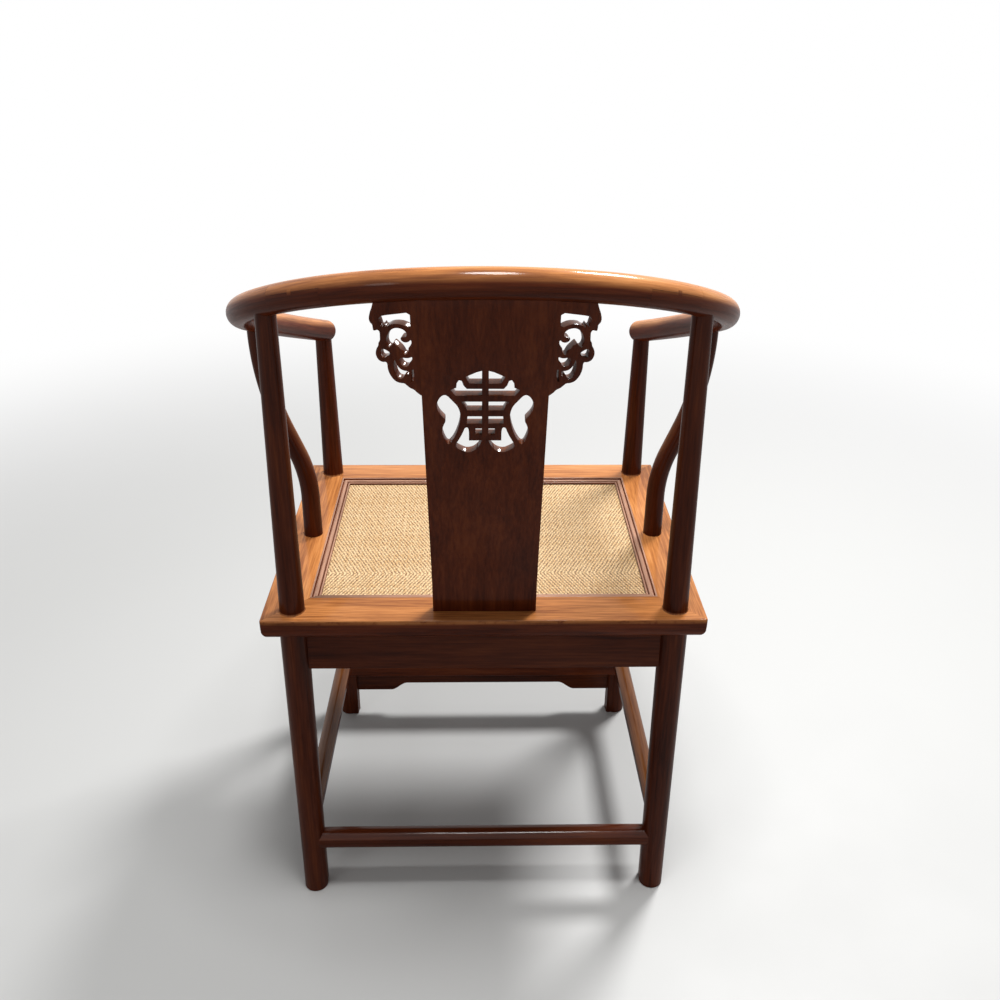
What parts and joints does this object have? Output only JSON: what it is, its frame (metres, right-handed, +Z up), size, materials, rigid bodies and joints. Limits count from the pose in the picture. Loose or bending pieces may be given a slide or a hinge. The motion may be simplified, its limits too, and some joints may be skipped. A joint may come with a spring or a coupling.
{
  "type": "round-back armchair",
  "caption": "Wooden armchair whose curved crest rail flows into the arms, with a bent splat, pierced ornament, woven seat mat, footrest and stretchers.",
  "frame": {"origin": "on the floor, under the middle of the chair's outer width and depth", "axes": "+Z up, -Y towards the front where the sitter's legs go, +Y towards the back of the rail, +X towards the sitter's left"},
  "size_m": [0.6578, 0.587, 0.983],
  "materials": {
    "wood": "gloss",
    "mat": "matte"
  },
  "bodies": {
    "root": {"rear_left_leg_post": "wood", "rear_right_leg_post": "wood", "front_left_leg_post": "wood", "front_right_leg_post": "wood", "crest_rail_back": "wood", "crest_rail_left_shoulder": "wood", "crest_rail_right_shoulder": "wood", "crest_rail_left_arm": "wood", "crest_rail_right_arm": "wood", "rail_wedge_pins": "wood", "splat": "wood", "splat_left_wing": "wood", "splat_right_wing": "wood", "left_side_post": "wood", "right_side_post": "wood", "seat_frame_rear": "wood", "seat_frame_front": "wood", "seat_frame_left": "wood", "seat_frame_right": "wood", "seat_board": "wood", "seat_mat": "mat", "mat_strip_rear": "wood", "mat_strip_front": "wood", "mat_strip_left": "wood", "mat_strip_right": "wood", "seat_batten_left": "wood", "seat_batten_right": "wood", "rear_apron": "wood", "front_apron": "wood", "left_apron": "wood", "right_apron": "wood", "footrest": "wood", "footrest_apron": "wood", "rear_stretcher": "wood", "left_stretcher": "wood", "right_stretcher": "wood"}
  },
  "joints": []
}
